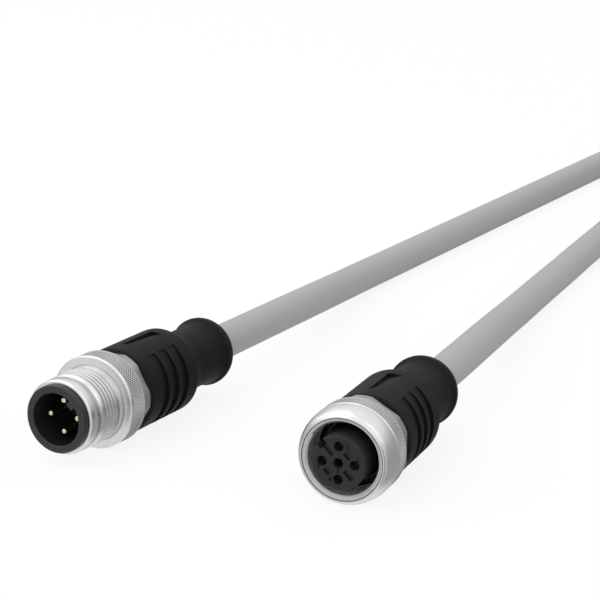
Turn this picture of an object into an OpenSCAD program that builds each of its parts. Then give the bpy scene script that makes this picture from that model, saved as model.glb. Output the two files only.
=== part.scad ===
// M12 connection cable: a four-pin plug and a five-hole socket, each with a free-turning threaded
// ring and a moulded grip, joined by one round cable.
// +Y runs along the plug from its mating face to its cable, +Z is up, and everything lies on z = 0.
// In the head modules the local Z axis is the head's own axis, counted from the mating face.

/* [Heads] */
// Diameter over the knurl of both coupling rings
knurl_d = 14.9; // [14.6:0.1:15.6]
// Distance across the flats behind the knurl
flats_w = 13.5; // [13.3:0.1:14.2]
// Diameter over the rounded corners of those flats
corners_d = 14.4; // [14.3:0.1:14.6]
// Diameter of the contact carrier where a coupling ring turns on it
waist_d = 9.9; // [9.6:0.1:10.1]
// Radial clearance between a coupling ring and the carrier it turns on
turn_fit = 0.05; // [0.02:0.01:0.1]
// End play at each side of a coupling ring
end_play = 0.12; // [0.05:0.01:0.3]
// Turn of the contact pattern about the head's axis
pattern_tilt = -1; // [-20:1:20]

/* [Contacts] */
// Diameter of the circle that the four contacts stand on
contact_pcd = 5; // [4.6:0.1:5.2]
// Diameter of a plug pin
pin_d = 1; // [0.8:0.1:1.1]
// How far the pin tips stand back from the plug's mating face
pin_recess = 2; // [1:0.1:3]
// Diameter of the holes in the socket's face
hole_d = 1.5; // [1.3:0.1:1.6]
// Outside diameter of a socket contact
spring_d = 1.6; // [1.5:0.1:1.8]
// Outside diameter of a solder cup
cup_d = 1.5; // [1.4:0.1:1.7]
// Length of a solder cup
cup_len = 2.5; // [2:0.1:3]

/* [Plug] */
// Diameter of the plug's collar
collar_d = 10.7; // [10.4:0.1:10.8]
// Diameter of the cavity inside the collar
cavity_d = 8.3; // [8.2:0.1:8.6]
// Depth of that cavity
cavity_depth = 9.2; // [7:0.1:9.5]
// How far the collar stands ahead of the ring
collar_len = 1; // [0.6:0.1:1.4]
// Width of the key inside the cavity
key_w = 1.2; // [0.9:0.1:1.4]
// Height of the key off the cavity wall
key_h = 0.85; // [0.5:0.05:1]
// Outside diameter of the plug's thread
thread_d = 12; // [11.6:0.1:12.4]
// Length of the whole plug ring
plug_ring_len = 14.46; // [13.5:0.1:16]
// Length of the ring's threaded nose, up to its flange
plug_nose_len = 8.5; // [8:0.1:9]
// Length of the flats on the plug ring
plug_flats_len = 1.95; // [1.5:0.05:2.5]
// Turn of those flats about the plug's axis
plug_flats_turn = 19.4; // [-30:0.1:30]

/* [Socket] */
// Diameter of the socket's contact insert
insert_d = 8.26; // [8:0.02:8.4]
// How far the insert stands ahead of the nut
insert_lead = 1.4; // [0.5:0.1:1.9]
// Distance from the insert's face to the back of the seal
seal_back = 7.75; // [7:0.05:8.5]
// Thickness of the seal ring
seal_d = 1.1; // [0.9:0.1:1.1]
// Thickness of the flange that holds the nut on
flange_t = 1.15; // [0.8:0.05:1.4]
// Inside diameter over the crests of the nut's thread
nut_minor_d = 10.92; // [10.85:0.01:11]
// Length of the nut
nut_len = 9.35; // [9:0.05:10.5]
// Diameter of the nut's front lip
lip_d = 13; // [12.6:0.1:13.4]
// Length of the curved flank behind the lip
flank_len = 3.5; // [2.5:0.1:4]
// Length of the flats on the nut
nut_flats_len = 1.5; // [1:0.05:2]
// Turn of those flats about the socket's axis
nut_flats_turn = -5.6; // [-30:0.1:30]
// Depth of the sloping recesses in the insert's face, along their low side
recess_depth = 0.4; // [0.2:0.1:0.8]

/* [Grip] */
// Diameter of the grip's body
grip_d = 14; // [13.4:0.1:14.4]
// Length of the body, up to its rounded shoulder
body_len = 13.3; // [12.5:0.1:14]
// Diameter of the neck
neck_d = 10.1; // [9.7:0.1:10.4]
// Distance from the grip's front to the neck
neck_at = 18; // [17.5:0.1:19]
// Diameter of the rim around the cable
rim_d = 11.5; // [11:0.1:12]
// Length of the whole grip
grip_len = 27.8; // [27.3:0.1:30]
// Width of a finger groove
groove_w = 1.7; // [1:0.1:2]
// Distance between finger grooves
groove_pitch = 2.8; // [2.4:0.05:3]
// Distance from the grip's front to the middle of the first groove
groove_at = 4.3; // [3.8:0.1:4.8]
// Depth of a finger groove at its deepest
groove_depth = 0.5; // [0.3:0.05:0.7]
// Depth of the thumb pocket at its back corner
pocket_depth = 0.65; // [0.4:0.05:0.8]

/* [Cable] */
// Diameter of the cable
cable_d = 5.9; // [5.4:0.1:6]
// Diameter of a wire over its insulation
wire_d = 1.3; // [1.1:0.1:1.4]
// Distance of the wires' centres from the cable's axis, where they enter the jacket
lay_r = 1.1; // [1.05:0.01:1.3]

/* [Hidden] */
$fn = 64;
eps = 0.01;
mould_fit = 0.01;
knurl_r = knurl_d / 2;
waist_r = waist_d / 2;
ring_bore_r = waist_r + turn_fit;
grip_r = grip_d / 2;
rim_r = rim_d / 2;
cable_r = cable_d / 2;
thread_r = thread_d / 2;
insert_r = insert_d / 2;
contact_r = contact_pcd / 2;
edge = 0.25;

// Stations of the plug, counted from its collar's face
ring_front = collar_len + end_play;
flange_face = ring_front + plug_nose_len;
ring_back = ring_front + plug_ring_len;
plug_grip_at = ring_back + end_play;
// Stations of the socket, counted from its insert's face
nut_back = insert_lead + nut_len;
nut_wall_at = seal_back + flange_t + end_play;
socket_grip_at = nut_back + end_play;
spring_at = 2.4;
// Stations inside a grip, counted from its front
tail_len = 2.3;
cups_end = tail_len + cup_len;
jacket_at = 14.3;
wire_gap = 0.12;
wires_at = cups_end + wire_gap;
wires_end = jacket_at - wire_gap;
mould_r = waist_r - 0.6;
mould_straight = cups_end + 1;
taper_end = jacket_at - 1;

// Where the two heads lie. Their common box is centred on the origin.
plug_at = [-22.84, -21.96];
socket_at = [23.56, -17.96];
socket_turn = 7.44;
axis_h = knurl_r;

// Clock angles are counted from +X towards +Z, looking at the mating face
plug_clock = [for (n = [0:3]) pattern_tilt + 90 * n];
socket_clock = [for (n = [0:3]) 180 + pattern_tilt - 90 * n];
plug_key_clock = pattern_tilt + 45;
socket_key_clock = pattern_tilt + 135;

// ---------------------------------------------------------------- helpers

// Puts children in the plug's frame: local Z runs from the mating face to the cable
module at_plug() {
  translate([plug_at[0], plug_at[1], axis_h]) rotate([-90, 0, 0]) children();
}

// Puts children in the socket's frame
module at_socket() {
  translate([socket_at[0], socket_at[1], axis_h]) rotate([0, 0, socket_turn])
    rotate([-90, 0, 0]) children();
}

// Turns children to a clock angle about the local Z axis
module clock(angle) {
  rotate([0, 0, -angle]) children();
}

// Puts children on the contact circle at a clock angle
module on_circle(angle) {
  clock(angle) translate([contact_r, 0, 0]) children();
}

// Points of an arc about [cx, cy], from angle a0 to a1
function arc(cx, cy, r, a0, a1, n = 6) =
  [for (i = [0:n]) let (a = a0 + (a1 - a0) * i / n) [cx + r * cos(a), cy + r * sin(a)]];

// Rounded hexagonal outline of the flats behind the knurl, with one flat facing a clock angle
module flats_outline(turn) {
  intersection() {
    circle(r = corners_d / 2);
    clock(turn + 30) circle(r = flats_w / 2 / cos(30), $fn = 6);
  }
}

// Knurled cylinder with rounded front edge and hexagonal flats behind it, from z0 to z1
module knurl_and_flats(z0, z1, flats_len, flats_turn) {
  flats_at = z1 - flats_len;
  step = (knurl_r - flats_w / 2) / 2;
  rotate_extrude() polygon(concat(
    [[0, z0], [knurl_r - edge, z0]],
    arc(knurl_r - edge, z0 + edge, edge, -90, 0, 4),
    [[knurl_r, flats_at - step], [knurl_r - step, flats_at], [0, flats_at]]));
  translate([0, 0, flats_at - eps]) linear_extrude(flats_len + eps)
    flats_outline(flats_turn);
}

// ---------------------------------------------------------------- plug

// Threaded coupling ring: conical nose, undercut, thread, flange, knurl and flats
module plug_coupling_ring() {
  nose_r = 5.5;
  undercut_at = ring_front + 2.2;
  fillet = 0.35;
  at_plug() color([0.78, 0.78, 0.77]) difference() {
    union() {
      rotate_extrude() polygon(concat(
        [[0, ring_front], [nose_r, ring_front]],
        arc(nose_r, ring_front + 0.4, 0.4, -60, 0, 4),
        [[thread_r - 0.04, undercut_at - 0.2], [thread_r - edge, undercut_at],
         [thread_r, undercut_at + edge], [thread_r, flange_face - fillet]],
        arc(thread_r + fillet, flange_face - fillet, fillet, 180, 90, 4),
        [[thread_r + fillet, flange_face + eps], [0, flange_face + eps]]));
      knurl_and_flats(flange_face, ring_back, plug_flats_len, plug_flats_turn);
    }
    translate([0, 0, ring_front - 1]) cylinder(r = ring_bore_r, h = plug_ring_len + 2);
  }
}

// Contact carrier: collar, cavity with its key, floor and the tail held in the grip
module plug_contact_carrier() {
  collar_r = collar_d / 2;
  cavity_r = cavity_d / 2;
  round_r = 0.2;
  at_plug() color([0.2, 0.2, 0.21]) difference() {
    union() {
      rotate_extrude() polygon(concat(
        [[cavity_r + 0.1, 0]],
        arc(collar_r - round_r, round_r, round_r, -90, 0, 4),
        [[collar_r, collar_len], [waist_r, collar_len], [waist_r, plug_grip_at + tail_len],
         [0, plug_grip_at + tail_len], [0, cavity_depth], [cavity_r, cavity_depth],
         [cavity_r, 0.1]]));
      intersection() {
        clock(plug_key_clock) translate([cavity_r - key_h, -key_w / 2, 0.1])
          cube([key_h + 0.4, key_w, cavity_depth]);
        cylinder(r = cavity_r + 0.4, h = cavity_depth + eps);
      }
    }
    for (a = plug_clock) on_circle(a)
      translate([0, 0, cavity_depth - 1]) cylinder(r = pin_d / 2 + mould_fit, h = 20, $fn = 32);
  }
}

// Turned contact pin with a domed tip and a solder cup behind the carrier
module plug_pin(n) {
  r = pin_d / 2;
  cup_at = plug_grip_at + tail_len;
  dome = 0.3;
  at_plug() on_circle(plug_clock[n]) color([0.83, 0.72, 0.42]) rotate_extrude($fn = 32)
    polygon(concat(
      [[0, pin_recess], [r - dome, pin_recess]],
      arc(r - dome, pin_recess + dome, dome, -90, 0, 4),
      [[r, cup_at], [cup_d / 2, cup_at], [cup_d / 2, cup_at + cup_len],
       [wire_bore_r(), cup_at + cup_len], [wire_bore_r(), cup_at + 0.9], [0, cup_at + 0.9]]));
}

// Radius of the hollow in a solder cup
function wire_bore_r() = cup_d / 2 - 0.25;

// ---------------------------------------------------------------- socket

// Coupling nut: lip, polished flank, plain band, knurl, flats and the threaded inside
module socket_coupling_nut() {
  lip_r = lip_d / 2;
  mouth_r = thread_r + 0.12;
  minor_r = nut_minor_d / 2;
  flank_end = insert_lead + flank_len;
  band_r = knurl_r - 0.15;
  knurl_at = flank_end + 0.8;
  lip_round = 0.15;
  at_socket() color([0.78, 0.78, 0.77]) difference() {
    union() {
      rotate_extrude() polygon(concat(
        [[0, insert_lead]],
        arc(lip_r - lip_round, insert_lead + lip_round, lip_round, -90, 0, 3),
        [for (i = [1:10]) let (a = 90 * i / 10)
          [lip_r + (knurl_r - lip_r) * sin(a), flank_end - (flank_len - lip_round * 2) * cos(a)]],
        [[band_r, flank_end + 0.12], [band_r, knurl_at + eps], [0, knurl_at + eps]]));
      knurl_and_flats(knurl_at, nut_back, nut_flats_len, nut_flats_turn);
    }
    translate([0, 0, insert_lead - 1]) cylinder(r = minor_r, h = nut_wall_at - insert_lead + 1);
    translate([0, 0, insert_lead - eps])
      cylinder(r1 = mouth_r, r2 = minor_r, h = mouth_r - minor_r + eps);
    cylinder(r = ring_bore_r, h = nut_back + 1);
  }
}

// Contact insert: keyed front with five holes, flange behind the seal and the tail in the grip
module socket_contact_insert() {
  front_round = 0.3;
  flange_r = nut_minor_d / 2 - 0.08;
  notch_r = insert_r - key_h - 0.1;
  notch_w = key_w + 0.1;
  at_socket() color([0.22, 0.22, 0.23]) difference() {
    rotate_extrude() polygon(concat(
      [[0, 0], [insert_r - front_round, 0]],
      arc(insert_r - front_round, front_round, front_round, -65, 0, 4),
      [[insert_r, seal_back], [flange_r, seal_back], [flange_r, seal_back + flange_t],
       [waist_r, seal_back + flange_t], [waist_r, socket_grip_at + tail_len],
       [0, socket_grip_at + tail_len]]));
    for (a = socket_clock) on_circle(a) {
      translate([0, 0, -1]) cylinder(r = hole_d / 2, h = spring_at + 1, $fn = 32);
      translate([0, 0, spring_at - wire_gap]) cylinder(r = spring_d / 2 + mould_fit, h = 20, $fn = 32);
    }
    translate([0, 0, -1]) cylinder(r = hole_d / 2, h = 7, $fn = 32);
    clock(socket_key_clock) translate([notch_r, -notch_w / 2, -1])
      cube([key_h + 1, notch_w, seal_back - seal_d]);
    face_recesses(notch_r);
  }
}

// Four shallow recesses in the face, all parallel to the key and deepest along their low side
module face_recesses(notch_r) {
  clock(socket_key_clock) {
    face_recess(1.4, notch_r + eps, -0.15, 0.65);
    face_recess(-3.1, -1.4, -0.4, 0.7);
    face_recess(-0.65, 0.45, 1.45, 2.85);
    face_recess(-0.35, 0.7, -2.6, -1.25);
  }
}

// One recess: along the key from k0 to k1, and rising to the face from n0 to n1 across it
module face_recess(k0, k1, n0, n1) {
  translate([k0, 0, 0]) rotate([90, 0, 90]) linear_extrude(k1 - k0)
    polygon([[n0, -1], [n0, recess_depth], [n1, 0], [n1, -1]]);
}

// Rubber ring at the root of the insert, against its flange
module socket_seal() {
  at_socket() color([0.1, 0.1, 0.1]) translate([0, 0, seal_back - seal_d / 2])
    rotate_extrude() translate([insert_r + seal_d / 2, 0]) circle(r = seal_d / 2, $fn = 24);
}

// Tubular spring contact with a solder cup behind the insert
module socket_contact(n) {
  bore_depth = 7;
  r = spring_d / 2;
  cup_at = socket_grip_at + tail_len;
  at_socket() on_circle(socket_clock[n]) color([0.83, 0.72, 0.42]) rotate_extrude($fn = 32)
    polygon([[pin_d / 2 + 0.02, spring_at], [r, spring_at], [r, cup_at], [cup_d / 2, cup_at],
             [cup_d / 2, cup_at + cup_len], [wire_bore_r(), cup_at + cup_len],
             [wire_bore_r(), cup_at + 0.9], [0, cup_at + 0.9], [0, spring_at + bore_depth],
             [pin_d / 2 + 0.02, spring_at + bore_depth]]);
}

// ---------------------------------------------------------------- inside a grip
// These modules count local Z from the front of the grip

// Straight wire from its solder cup to its place in the cable; as a hole it is wider by a
// clearance and longer at both ends
module wire(angle, clearance = 0, longer = 0) {
  run = wires_end - wires_at;
  lean = atan((contact_r - lay_r) / run);
  clock(angle) translate([contact_r, 0, wires_at]) rotate([0, -lean, 0]) translate([0, 0, -longer])
    cylinder(r = wire_d / 2 + clearance, h = run / cos(lean) + 2 * longer, $fn = 24);
}

// Inner mould that holds the solder cups and wires before the grip is moulded on
module inner_mould(angles) {
  color([0.62, 0.6, 0.52]) difference() {
    rotate_extrude() polygon([[0, tail_len], [mould_r, tail_len], [mould_r, mould_straight],
      [cable_r, taper_end], [cable_r, jacket_at], [0, jacket_at]]);
    for (a = angles) {
      on_circle(a) translate([0, 0, tail_len - 1])
        cylinder(r = cup_d / 2 + mould_fit, h = cup_len + 1 + wire_gap, $fn = 32);
      wire(a, 2 * mould_fit, 0.6);
    }
  }
}

// Outside of the grip: rounded front, body, shoulder, neck and the rim round the cable
function grip_profile() =
  let (front_round = 0.7, shoulder = 1.1, neck_r = neck_d / 2, rim_at = grip_len - 2.5)
  concat(
    [[waist_r + mould_fit, 0]],
    arc(grip_r - front_round, front_round, front_round, -90, 0, 4),
    arc(grip_r - shoulder, body_len, shoulder, 0, 60, 4),
    [[grip_r - 1.15, body_len + 1.55], [grip_r - 1.6, body_len + 2.7],
     [neck_r + 0.1, neck_at - 0.8], [neck_r, neck_at], [neck_r, rim_at - 3.8],
     [neck_r + 0.06, rim_at - 2.5], [neck_r + 0.14, rim_at - 1.4],
     [neck_r + 0.24, rim_at - 0.95]],
    arc(rim_r - 0.8, rim_at + 0.15, 0.8, -50, 0, 4),
    arc(rim_r - 2.6, rim_at + 0.3, 2.6, 4, 52, 5),
    [[rim_r - 1.3, grip_len], [cable_r + mould_fit, grip_len],
     [cable_r + mould_fit, jacket_at]]);

// Ring-shaped finger groove that is shallow on top, deepest low on its side and runs out below;
// side is 1 for the right and -1 for the left, seen from the mating face
module finger_groove(at, side) {
  run_out = 0.55;
  floor_r = grip_r - groove_depth + run_out;
  deepest = 90 - side * 105;
  blunt = 90 - side * 36;
  translate([0, 0, at - groove_w / 2]) intersection() {
    difference() {
      cylinder(r = grip_r + 1, h = groove_w);
      clock(deepest) translate([-run_out, 0, -1]) cylinder(r = floor_r, h = groove_w + 2);
    }
    clock(blunt) translate([-grip_r - 2, side > 0 ? 0 : -grip_r * 2 - 4, -1])
      cube([grip_r * 2 + 4, grip_r * 2 + 4, groove_w + 2]);
  }
}

// Pocket for the thumb on top: its floor drops from the front, deepest in its back left corner,
// and rises to the right until it is flush
module thumb_pocket() {
  front = 2.6;
  ramp_end = 4.6;
  back = body_len - 1.9;
  left_wall = -0.6;
  side_slope = 12;
  clock(90) translate([grip_r, left_wall, 0]) rotate([0, 0, -side_slope]) translate([0, 6.5, 0])
    rotate([90, 0, 0]) linear_extrude(6.5)
      polygon([[0, front], [-0.6 * pocket_depth, ramp_end], [-pocket_depth, back], [3, back],
               [3, front]]);
}

// Moulded grip: finger grooves on both sides, thumb pocket, neck and rim around the cable
module grip() {
  color([0.17, 0.17, 0.17]) difference() {
    rotate_extrude() polygon(concat(grip_profile(),
      [[cable_r + mould_fit, taper_end], [mould_r + mould_fit, mould_straight],
       [mould_r + mould_fit, tail_len + mould_fit], [waist_r + mould_fit, tail_len + mould_fit]]));
    for (i = [0:2], side = [-1, 1]) finger_groove(groove_at + groove_pitch * i, side);
    thumb_pocket();
  }
}

// ---------------------------------------------------------------- cable

// Route of the cable from the plug to the coil, along its middle
plug_route = [
  [-22.8, 30, axis_h], [-23, 40, 7.35], [-23.8, 50, 6.9], [-25.2, 60, 6.1], [-27, 70, 5.1],
  [-28.7, 80, 4.15], [-30, 90, 3.45], [-30.6, 100, 3.1], [-30.8, 115, 3], [-30.8, 135, 3],
  [-30.8, 155, 3], [-30.8, 175, 3], [-30.8, 195, 3], [-30.8, 215, 3], [-30.8, 235, 3],
  [-30.8, 252, 3]];
// Route of the cable from the socket to the coil, along its middle
socket_route = [
  [17.5, 28.7, axis_h], [16.1, 38.6, 7.35], [14.3, 48.5, 6.9], [12.2, 58.3, 6.1], [9.9, 68.1, 5.1],
  [7.7, 77.9, 4.15], [5.7, 87.7, 3.45], [4, 97.6, 3.1], [2, 112.4, 3], [0, 127.3, 3],
  [-1.9, 142.2, 3], [-3.9, 157, 3], [-5, 166, 3], [-4.9, 175, 3], [-2.5, 185, 3.3],
  [1.6, 193, 4.1], [7.2, 200, 5.4], [15.7, 208.5, 7.2], [24.3, 217.1, 8.7], [32.7, 225.7, 9]];
// Middle of the coil, the radii of its inner and outer turns and its height over two layers
coil_at = [6.4, 252];
coil_inner_r = 29.2;
coil_outer_r = 37.2;
coil_h = 12;

// Unit vector, and the two directions across it
function unit(v) = v / norm(v);
function across(t) = unit(cross(t, [0, 0, 1]));
// Direction of a route at point i
function heading(p, i) = unit(p[min(i + 1, len(p) - 1)] - p[max(i - 1, 0)]);

// Round tube of ten sides swept along the points p
module tube(p, r, sides = 10) {
  n = len(p);
  points = [for (i = [0:n - 1], k = [0:sides - 1])
    let (t = heading(p, i), u = across(t), w = cross(t, u), a = 360 * (k + 0.5) / sides)
    p[i] + r * (cos(a) * u + sin(a) * w)];
  walls = [for (i = [0:n - 2], k = [0:sides - 1])
    let (a = i * sides + k, b = i * sides + (k + 1) % sides) [a, b, b + sides, a + sides]];
  polyhedron(points, concat([[for (k = [sides - 1:-1:0]) k]], walls,
    [[for (k = [0:sides - 1]) (n - 1) * sides + k]]));
}

// Cable end inside a head's grip, at station s behind its mating face
function plug_end(s) = [plug_at[0], plug_at[1] + s, axis_h];
function socket_end(s) =
  [socket_at[0] - s * sin(socket_turn), socket_at[1] + s * cos(socket_turn), axis_h];

module cable_from_plug() {
  color([0.68, 0.68, 0.69]) tube(concat(
    [plug_end(plug_grip_at + jacket_at), plug_end(plug_grip_at + grip_len)], plug_route), cable_r);
}

module cable_to_socket() {
  color([0.68, 0.68, 0.69]) tube(concat(
    [socket_end(socket_grip_at + jacket_at), socket_end(socket_grip_at + grip_len)],
    socket_route), cable_r);
}

// Outer shape of the coiled length: two layers of turns that lie beside each other
module cable_coil() {
  corner = cable_r - 0.5;
  w = coil_outer_r - coil_inner_r + cable_d;
  color([0.68, 0.68, 0.69]) translate([coil_at[0], coil_at[1], 0]) rotate_extrude()
    translate([coil_inner_r - cable_r, 0]) polygon(concat(
      arc(w - corner, corner, corner, -90, 0, 4), arc(w - corner, coil_h - corner, corner, 0, 90, 4),
      arc(corner, coil_h - corner, corner, 90, 180, 4), arc(corner, corner, corner, 180, 270, 4)));
}

// ---------------------------------------------------------------- drawing

module in_plug() at_plug() translate([0, 0, plug_grip_at]) children();
module in_socket() at_socket() translate([0, 0, socket_grip_at]) children();
module plug_pin_1() plug_pin(0);
module plug_pin_2() plug_pin(1);
module plug_pin_3() plug_pin(2);
module plug_pin_4() plug_pin(3);
module plug_wire_brown() color([0.36, 0.2, 0.1]) in_plug() wire(plug_clock[0]);
module plug_wire_white() color([0.9, 0.9, 0.88]) in_plug() wire(plug_clock[1]);
module plug_wire_blue() color([0.12, 0.25, 0.6]) in_plug() wire(plug_clock[2]);
module plug_wire_black() color([0.08, 0.08, 0.08]) in_plug() wire(plug_clock[3]);
module plug_inner_mould() in_plug() inner_mould(plug_clock);
module plug_grip() in_plug() grip();
module socket_contact_1() socket_contact(0);
module socket_contact_2() socket_contact(1);
module socket_contact_3() socket_contact(2);
module socket_contact_4() socket_contact(3);
module socket_wire_brown() color([0.36, 0.2, 0.1]) in_socket() wire(socket_clock[0]);
module socket_wire_white() color([0.9, 0.9, 0.88]) in_socket() wire(socket_clock[1]);
module socket_wire_blue() color([0.12, 0.25, 0.6]) in_socket() wire(socket_clock[2]);
module socket_wire_black() color([0.08, 0.08, 0.08]) in_socket() wire(socket_clock[3]);
module socket_inner_mould() in_socket() inner_mould(socket_clock);
module socket_grip() in_socket() grip();

plug_coupling_ring();
plug_contact_carrier();
plug_pin_1();
plug_pin_2();
plug_pin_3();
plug_pin_4();
plug_wire_brown();
plug_wire_white();
plug_wire_blue();
plug_wire_black();
plug_inner_mould();
plug_grip();
socket_coupling_nut();
socket_contact_insert();
socket_seal();
socket_contact_1();
socket_contact_2();
socket_contact_3();
socket_contact_4();
socket_wire_brown();
socket_wire_white();
socket_wire_blue();
socket_wire_black();
socket_inner_mould();
socket_grip();
cable_from_plug();
cable_coil();
cable_to_socket();
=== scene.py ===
"""Looks of an M12 connection cable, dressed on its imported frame.

The plug and the socket are built in their own head frames: Z runs from the mating face to the
cable, X to the right and -Y up, in millimetres. Each head's matrix carries them into the frame.
"""

from __future__ import annotations

import logging
import math
from collections.abc import Sequence
from dataclasses import dataclass
from enum import Enum, IntEnum
from fnmatch import fnmatchcase
from typing import Any

import bmesh
import bpy
import numpy as np
from mathutils import Matrix, Vector

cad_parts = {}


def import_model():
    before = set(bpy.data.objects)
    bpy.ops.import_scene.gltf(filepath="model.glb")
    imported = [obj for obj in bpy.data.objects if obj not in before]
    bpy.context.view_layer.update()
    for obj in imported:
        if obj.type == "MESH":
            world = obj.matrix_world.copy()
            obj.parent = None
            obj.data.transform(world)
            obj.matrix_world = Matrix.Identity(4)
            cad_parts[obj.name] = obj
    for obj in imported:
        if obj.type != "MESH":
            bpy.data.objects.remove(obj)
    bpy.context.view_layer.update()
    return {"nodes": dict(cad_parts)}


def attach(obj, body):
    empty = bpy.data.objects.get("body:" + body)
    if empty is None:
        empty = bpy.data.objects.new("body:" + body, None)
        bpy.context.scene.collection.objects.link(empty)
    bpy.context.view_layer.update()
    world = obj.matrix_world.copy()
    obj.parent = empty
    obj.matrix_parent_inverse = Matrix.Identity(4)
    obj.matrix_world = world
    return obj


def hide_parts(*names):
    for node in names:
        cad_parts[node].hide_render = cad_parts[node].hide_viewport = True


logging.basicConfig(level=logging.INFO, format="%(name)s: %(message)s")
log = logging.getLogger("m12_cable")

Colour = tuple[float, float, float]
Point = tuple[float, float, float]
# Pairs of distance from a head's axis and station, in millimetres
Profile = list[tuple[float, float]]

MM = 0.001
# Points round a turned ring, and how many of them go to one diamond of a knurl
COLUMNS = 320
DIAMOND = 4
# Depth of a countersink for each millimetre of its radius
SINK_SLOPE = 0.55
# One pitch of a thread: the place of each row and its share of the groove's depth, both from 0
# to 1, and the rows whose faces lie in the groove and get the painted shade
GROOVE = [(0.0, 1.0), (0.08, 1.0), (0.33, 0.07), (0.38, 0.0), (0.7, 0.0), (0.75, 0.07)]
GROOVE_ROWS = (5, 0, 1)


class Body(Enum):
    """Bodies of the frame that pieces ride on."""

    CABLE_SET = "cable_set"
    PLUG_RING = "plug_ring"
    SOCKET_NUT = "socket_nut"


class Slot(Enum):
    """Material slots of the record."""

    NICKEL = "nickel_plate"
    CARRIER = "carrier_plastic"
    JACKET = "cable_jacket"


class Skin(IntEnum):
    """Finishes and painted shade of the two metal rings, by the number of their material slot."""

    TURNED = 0
    # A darker tone on the knurl and the hexagon; on the plug ring also painted shade in the
    # thread's grooves, the undercut and the flange's fillet
    KNURL_AND_SHADE = 1
    INSIDE = 2
    # Painted shade in the nut's thread grooves and round the mouth of its countersink
    GROOVE_SHADE = 3


# ---------------------------------------------------------------- shader graphs


class Graph:
    """The node tree of one material or world."""

    def __init__(self, tree: bpy.types.NodeTree) -> None:
        """Takes over a node tree and empties it.

        Args:
            tree: The tree of a material or world.
        """
        self.tree = tree
        tree.nodes.clear()

    def node(
        self,
        kind: str,
        settings: dict[str, Any] | None = None,
        sockets: dict[str | int, Any] | None = None,
    ) -> bpy.types.Node:
        """Adds a node.

        Args:
            kind: The node's type.
            settings: Properties of the node, set first; "stops" are a ramp's positions and colours.
            sockets: Values or links of its inputs, by name or number.

        Returns:
            The node.
        """
        made = self.tree.nodes.new(kind)
        for name, value in (settings or {}).items():
            if name == "stops":
                ramp = made.color_ramp
                while len(ramp.elements) < len(value):
                    ramp.elements.new(0.5)
                for element, (place, colour) in zip(ramp.elements, value):
                    element.position, element.color = place, (*colour, 1)
            else:
                setattr(made, name, value)
        for key, value in (sockets or {}).items():
            if isinstance(value, Value):
                value = value.socket
            if isinstance(value, bpy.types.NodeSocket):
                self.tree.links.new(value, made.inputs[key])
            elif isinstance(value, tuple) and made.inputs[key].type == "RGBA":
                made.inputs[key].default_value = (*value, 1)
            else:
                made.inputs[key].default_value = value
        return made

    def value(self, node: bpy.types.Node, output: str | int = 0) -> Value:
        """Wraps one output of a node.

        Args:
            node: The node.
            output: The output's name or number.

        Returns:
            The output as a value for expressions.
        """
        return Value(self, node.outputs[output])

    def place(self) -> Value:
        """The piece's own coordinates, in metres."""
        return self.value(self.node("ShaderNodeTexCoord"), "Object")

    def scaled(self, place: Value, factors: Colour) -> Value:
        """Coordinates multiplied along their three axes.

        Args:
            place: The coordinates.
            factors: A factor for each axis.

        Returns:
            The scaled coordinates.
        """
        node = self.node(
            "ShaderNodeVectorMath", {"operation": "MULTIPLY"}, {0: place, 1: factors}
        )
        return self.value(node)

    def noise(self, place: Value, scale: float, detail: float = 2.0, rough: float = 0.5) -> Value:
        """Smooth noise about 0.5.

        Args:
            place: Coordinates.
            scale: Waves per metre.
            detail: Octaves.
            rough: Weight of each next octave.

        Returns:
            The noise.
        """
        node = self.node(
            "ShaderNodeTexNoise",
            {"noise_dimensions": "3D"},
            {"Vector": place, "Scale": scale, "Detail": detail, "Roughness": rough},
        )
        return self.value(node, 0)

    def blend(self, factor: Value, low: Colour | Value, high: Colour | Value) -> Value:
        """Mixes two colours.

        Args:
            factor: 0 for the first colour and 1 for the second.
            low: First colour.
            high: Second colour.

        Returns:
            The mixed colour.
        """
        node = self.node(
            "ShaderNodeMix", {"data_type": "RGBA"}, {"Factor": factor, 6: low, 7: high}
        )
        return self.value(node, 2)

    def bump(self, height: Value, depth: float) -> Value:
        """Normal of a surface raised by a height.

        Args:
            height: The height, from 0 to 1.
            depth: What 1 stands for, in metres.

        Returns:
            The normal.
        """
        return self.value(
            self.node("ShaderNodeBump", {}, {"Strength": 1.0, "Distance": depth, "Height": height})
        )

    def background(self, colour: Colour | Value, strength: float = 1.0) -> bpy.types.Node:
        """Adds light from a world's surroundings.

        Args:
            colour: Its colour.
            strength: Its strength.

        Returns:
            The shader node.
        """
        return self.node("ShaderNodeBackground", {}, {"Color": colour, "Strength": strength})

    def either(
        self, factor: Value, first: bpy.types.Node, second: bpy.types.Node
    ) -> bpy.types.Node:
        """Mixes two shaders.

        Args:
            factor: 0 for the first shader and 1 for the second.
            first: First shader node.
            second: Second shader node.

        Returns:
            The mixed shader's node.
        """
        return self.node(
            "ShaderNodeMixShader", {}, {0: factor, 1: first.outputs[0], 2: second.outputs[0]}
        )

    def output(self, kind: str, shader: bpy.types.Node) -> None:
        """Sends a shader to the output node.

        Args:
            kind: Type of the output node.
            shader: The shader node.
        """
        self.node(kind, {}, {"Surface": shader.outputs[0]})

    def principled(self, sockets: dict[str | int, Any]) -> None:
        """Gives a material its shader.

        Args:
            sockets: Values or links of the shader's inputs, by name.
        """
        self.output("ShaderNodeOutputMaterial", self.node("ShaderNodeBsdfPrincipled", {}, sockets))


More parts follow.
